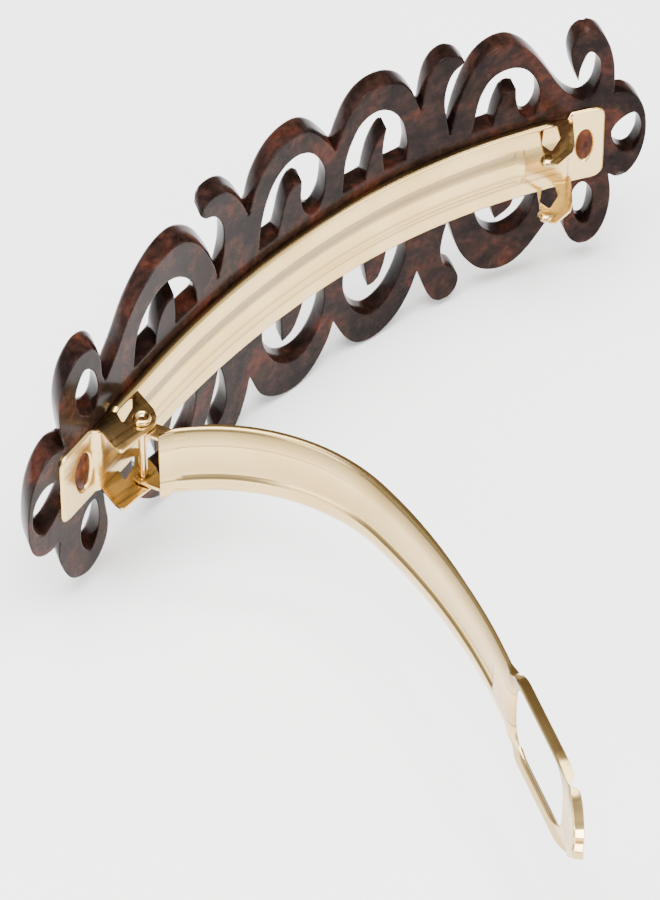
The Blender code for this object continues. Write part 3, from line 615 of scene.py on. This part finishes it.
loops = [closed_curve(OUTLINE, 0.5)]
loops += [closed_curve(cut, 0.45) for cut in CUTS]
loops += [ring_curve(eye, 0.45) for eye in EYES]
plate_mesh = formed("plate", loops, (0.06, 0.16, 0.34, 0.58, 0.85), 1.5, plate_place,
                    lambda p, d: fillet(d, ROUND_BACK),
                    lambda p, d: PLATE_T - fillet(d, ROUND_FRONT))
plate = piece("scroll_plate_polished", [plate_mesh], TORTOISE, 50.0)
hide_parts("scroll_plate")
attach(plate, "clip")

# ---------------------------------------------------------------- clip base
STAKES = {"hinge": (-45.9, 1.45, 2.70), "catch": (36.1, 1.05, 2.35)}
GROOVE_HALF, GROOVE_FROM, GROOVE_TO = 2.5, -37.8, 27.5
BASE_EDGE = [(-50.3, 5.1), (-44.4, 5.1), (-43.4, 4.7), (-40.3, 4.7), (-39.6, 5.2),
             (31.2, 5.2), (32.2, 4.7), (33.7, 4.7), (34.3, 5.55), (38.6, 5.55)]
BASE_TURN = [1.6, 0.5, 0.4, 0.4, 0.5, 0.9, 0.4, 0.4, 0.5, 1.7]


def base_level(p):
    """Face towards the arm: end tabs, the raised run between them and its groove."""
    s, z = p
    lifted = ease((s + 44.2) / 0.9) * ease((34.3 - s) / 0.9)
    inner = ease((s - GROOVE_FROM + 0.6) / 0.9) * ease((GROOVE_TO + 0.6 - s) / 0.9)
    valley = max(0.0, 1 - abs(z) / GROOVE_HALF) ** 0.7
    return TAB_LEVEL + (STRIP_LIFT + TAB_LEVEL) * (inner * valley - lifted)


def base_back(p, d):
    """Face towards the plate; its edges are turned down to it."""
    top = base_level(p) + STRIP_T
    return top + (TAB_LEVEL + STRIP_T - top) * ease((LIP - d) / 0.08) - fillet(d, 0.08)


base_loops = [rounded_poly(mirrored(BASE_EDGE), BASE_TURN + BASE_TURN[::-1], 0.4)]
base_loops += [ellipse(s, 0.0, hs, hz) for s, hs, hz in STAKES.values()]
half_rows = (0.12, 0.35, 0.7, 1.2, 1.7, 2.1, 2.35, 2.5, 2.65, 2.9, 3.4, 4.0, 4.6)
columns = list(np.arange(-43.2, 33.0, 0.6)) + [-44.1, -43.9, -43.6, 33.5, 33.7, 33.95, 34.2,
                                               -38.55, -38.25, -37.95, 27.2, 27.5, 28.1]
base_mesh = formed("base", base_loops, (0.05, 0.12, 0.34, LIP), 1.2, on_spine,
                   lambda p, d: base_level(p) + fillet(d, 0.45), base_back,
                   ruling(half_rows, columns),
                   lambda q: (q[:, 0] > -43.6) & (q[:, 0] < 33.4))

HINGE_EAR = [(-37.4, 1.0), (-38.1, -2.6), (-38.0, -3.9), (-34.8, -3.5), (-32.3, -3.3),
             (-31.3, -2.5), (-30.7, -1.3), (-29.9, 2.8), (-30.2, 2.95)]
HINGE_WINDOW = [(-34.1, 1.25), (-30.9, 2.15), (-32.4, 0.5), (-34.8, -0.6)]
CATCH_EAR = [(34.2, 2.35), (31.6, -0.8), (30.9, -2.9), (31.1, -3.8), (34.2, -3.4),
             (35.3, -2.6), (38.3, 0.65), (38.4, 0.9), (36.0, 1.9)]
CATCH_WINDOW = [(34.5, 1.75), (36.0, 1.1), (34.8, -0.6), (32.5, -1.5), (32.5, 0.1)]
ears = []
for ear, hole in ((HINGE_EAR, HINGE_WINDOW), (CATCH_EAR, CATCH_WINDOW)):
    shapes = [rounded_poly(ear, 0.45, 0.3), rounded_poly(hole, 0.2, 0.25)]
    ears += sheet_sides("ear", shapes, (0.05, 0.12), 0.9, EAR_IN, EAR_OUT, (0.1, 0.12))
beads = []                                              # the catch ears' curled tips
for side in (-1, 1):
    turn = [math.radians(-80 + 16 * k) for k in range(11)]
    ball = [(0.15 + 0.85 * math.cos(t), side * (4.42 + 0.56 * math.sin(t))) for t in turn]
    beads.append(lathe(ball if side > 0 else ball[::-1], (31.3, -2.1), 32))
base = piece("clip_base", [base_mesh] + ears + beads, STRIP_GOLD)
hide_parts("base_plate")
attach(base, "clip")

# ---------------------------------------------------------------- pin and pegs
head = [(0.12, 5.22), (0.32, 5.20), (0.48, 5.27), (0.62, 5.46), (0.76, 5.58), (0.92, 5.54),
        (1.06, 5.38), (1.12, 5.15), (1.10, 4.95), (0.50, 4.90)]
profile = [(r, -z) for r, z in head] + [(r, z) for r, z in reversed(head)]
pin = piece("pin_domed", [lathe(profile, PIN)], GOLD, 60.0)
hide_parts("hinge_pin")
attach(pin, "clip")

for end, (s_at, hs, hz) in STAKES.items():
    rx, rz = hs - 0.08, hz - 0.08

    def face(p, d, s_at=s_at, rx=rx, rz=rz):
        u, v = (p[0] - s_at) / rx, p[1] / rz
        dome = math.sqrt(max(0.0, 1 - 0.8 * (u * u + v * v)))
        crease = math.exp(-((u + 0.25 * v) / 0.16) ** 2) * ease((0.9 - abs(v)) / 0.3)
        return 0.42 - 0.34 * dome + 0.16 * crease

    mesh = formed("peg", [ellipse(s_at, 0.0, rx, rz, 48)], (0.08, 0.2), 0.22, on_spine,
                  face, lambda p, d: PLATE_BACK + 1.2)
    peg = piece("peg_" + end, [mesh], STAKE, 50.0)
    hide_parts("stake_" + end)
    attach(peg, "clip")

# ---------------------------------------------------------------- clasp arm
WINDOW_FROM, WINDOW_TO, LOOP_FROM, LOOP_TIP = 60.0, 76.4, 56.6, 81.6
WINDOW_HALF = 5.05
arm_edge = [(0.0, 5.0), (LOOP_FROM + 1.4, 5.05), (LOOP_FROM + 2.6, 5.15),
            (LOOP_FROM + 5.2, 6.5), (WINDOW_TO - 2.6, 6.5), (WINDOW_TO + 1.4, 5.0),
            (LOOP_TIP - 1.8, 2.1), (LOOP_TIP - 0.9, 1.7), (LOOP_TIP - 0.9, 0.9),
            (LOOP_TIP, 0.6)]
arm_turn = [0.15, 2.0, 1.2, 3.0, 6.0, 3.0, 0.4, 0.2, 0.2, 0.3]
slot = [(WINDOW_FROM, WINDOW_HALF), (WINDOW_TO - 1.8, WINDOW_HALF)]
arm_loops = [rounded_poly(mirrored(arm_edge), arm_turn + arm_turn[::-1], 0.4),
             rounded_poly(mirrored(slot), 3.6, 0.4)]


def panel(p):
    """Depth of the pressed middle panel."""
    ends = ease((p[0] - 1.4) / 1.1) * ease((LOOP_FROM - 2.0 - p[0]) / 1.2)
    return PANEL_DEPTH * ends * ease((PANEL_HALF - abs(p[1])) / 0.65)


def slot_gap(p):
    """Distance to the rectangle around the loop's slot, nothing within it."""
    return math.hypot(max(abs(p[1]) - WINDOW_HALF, 0.0),
                      max(WINDOW_FROM - p[0], p[0] - WINDOW_TO, 0.0))


def arm_sag(p):
    """The shoulders fall away from the panel, and the loop is dished towards its slot."""
    on_loop = ease((p[0] - LOOP_FROM - 0.6) / 2.4)
    roll = 0.50 * min(max(abs(p[1]) - 2.8, 0.0) / 2.2, 1.0) ** 2 * ease((p[0] - 0.4) / 1.5)
    dish = 0.32 * (1 - min(slot_gap(p), 1.0))
    return roll * (1 - on_loop) + dish * on_loop


def arm_inner(p, d):
    """Hollow face, rounded at the outline."""
    edge = fillet(d, 0.32) * ease((p[0] - 0.15) / 0.8)
    return -ARM_T / 2 + panel(p) + arm_sag(p) + edge


def arm_outer(p, d):
    """Bulging face, with the turned edges standing up from it."""
    wall = ease((0.47 - d) / 0.1) * ease((p[0] - 4.5) / 0.9) * ease((slot_gap(p) - 0.4) / 0.3)
    top = ARM_T / 2 + panel(p) + arm_sag(p)
    deep = ARM_FLANGE - 0.40 * ease((p[0] - 30.0) / 22.0)
    deep += 0.45 * ease((p[0] - LOOP_FROM) / 4.0)
    return top + (max(deep, top) - top) * wall - 0.06 * ease((0.06 - d) / 0.06)


half_rows = (0.6, 1.2, 1.8, 2.1, 2.25, 2.4, 2.55, 2.7, 2.9, 3.5, 4.1)
columns = list(np.arange(0.7, LOOP_FROM, 0.55)) + [LOOP_FROM - 3.0, LOOP_FROM - 2.3]
arm_mesh = formed("arm", arm_loops, (0.06, 0.16, 0.28, 0.40, 0.50, 0.66, 0.85), 1.1, on_arm,
                  arm_inner, arm_outer, ruling(half_rows, columns),
                  lambda q: q[:, 0] < LOOP_FROM + 0.4)
foot_a, foot_b = arm_line(0.15), arm_line(3.6)
back = math.atan2(foot_a[1] - PIN[1], foot_a[0] - PIN[0])
turns = [back - math.radians(70 + 20 * k) for k in range(12)]
lug = [(PIN[0] + LUG_R * math.cos(t), PIN[1] + LUG_R * math.sin(t)) for t in turns]
lug += [foot_b[:2], foot_a[:2]]
lug_loops = [rounded_poly(lug, 0.15, 0.3), ellipse(*PIN, LUG_HOLE_R, LUG_HOLE_R, 24)]
lugs = sheet_sides("lug", lug_loops, (0.05, 0.12), 0.8, LUG_IN, LUG_OUT)
arm = piece("clasp_arm", [arm_mesh] + lugs, ARM_GOLD)
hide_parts("arm_hinge_half", "arm_loop_half")
bend_a = (on_arm((SPLIT - BLEND, 0.0), 0.0) + SHIFT) * MM
bend_b = (on_arm((SPLIT + BLEND, 0.0), 0.0) + SHIFT) * MM
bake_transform(arm)

# ---------------------------------------------------------------- stage, light, camera
FLOOR_DROP = 0.0002                                     # metres below the part
floor_mesh = bpy.data.meshes.new("floor")
floor_bm = bmesh.new()
bmesh.ops.create_grid(floor_bm, x_segments=1, y_segments=1, size=3.0)
floor_bm.to_mesh(floor_mesh)
floor_bm.free()
floor = bpy.data.objects.new("floor", floor_mesh)
floor.location.z = start_box[0][2] - FLOOR_DROP
bpy.context.scene.collection.objects.link(floor)
paper, paper_tree, paper_shader = new_material("paper")
paper_shader.inputs["Base Color"].default_value = (0.93, 0.93, 0.93, 1.0)
paper_shader.inputs["Roughness"].default_value = 0.9
paper_shader.inputs["Specular IOR Level"].default_value = 0.1
floor_mesh.materials.append(paper)

world = bpy.data.worlds.new("studio")
bpy.context.scene.world = world
world.use_nodes = True
tree = world.node_tree
sky = tree.nodes["Background"]
direction = tree.nodes.new("ShaderNodeTexCoord").outputs["Generated"]
split = tree.nodes.new("ShaderNodeSeparateXYZ")
tree.links.new(direction, split.inputs["Vector"])
dome = ramp(tree, ranged(tree, split.outputs["Z"], -1.0, 1.0), [
    (0.45, (0.40, 0.39, 0.38)), (0.55, (0.66, 0.65, 0.64)), (0.80, (1.0, 1.0, 1.0))])
# a warm, dim patch of sky behind the clip, half way up, for the metal to reflect
facing = tree.nodes.new("ShaderNodeVectorMath")
facing.operation = "DOT_PRODUCT"
facing.inputs[1].default_value = Vector((0.50, 0.53, 0.68)).normalized()
tree.links.new(direction, facing.inputs[0])
card = ramp(tree, facing.outputs["Value"], [(0.66, (0.0, 0.0, 0.0)), (0.86, (1.0, 1.0, 1.0))])
tree.links.new(mixed(tree, "MIX", card, dome, (0.34, 0.27, 0.19, 1.0)), sky.inputs["Color"])
sky.inputs["Strength"].default_value = 1.5


def softbox(name, position, target, size, power):
    """Rectangular light aimed at a point."""
    light = bpy.data.lights.new(name, "AREA")
    light.shape = "RECTANGLE"
    light.size, light.size_y = size
    light.energy = power
    obj = bpy.data.objects.new(name, light)
    obj.location = position
    aim = Vector(target) - Vector(position)
    obj.rotation_euler = aim.to_track_quat("-Z", "Y").to_euler()
    bpy.context.scene.collection.objects.link(obj)


AIM = Vector((-16.582, 17.369, 19.452)) * MM
softbox("top_box", (-0.10, -0.05, 0.75), AIM, (0.6, 0.6), 20.0)
softbox("left_box", (-0.75, 0.10, 0.40), AIM, (0.5, 0.7), 8.0)
softbox("front_box", (0.15, -0.75, 0.35), AIM, (0.7, 0.4), 6.0)

AZIMUTH, ELEVATION, DISTANCE = math.radians(-43.45), math.radians(45.0), 0.650
camera_data = bpy.data.cameras.new("camera")
camera_data.sensor_fit = "HORIZONTAL"
camera_data.sensor_width = 36.0
camera_data.lens = 313.4
camera_data.clip_end = 10.0
camera = bpy.data.objects.new("camera", camera_data)
flat = Vector((math.sin(AZIMUTH), -math.cos(AZIMUTH), 0.0))
away = flat * math.cos(ELEVATION) + Vector((0, 0, math.sin(ELEVATION)))
camera.location = AIM + away * DISTANCE
camera.rotation_euler = (AIM - camera.location).to_track_quat("-Z", "Y").to_euler()
bpy.context.scene.collection.objects.link(camera)
bpy.context.scene.camera = camera
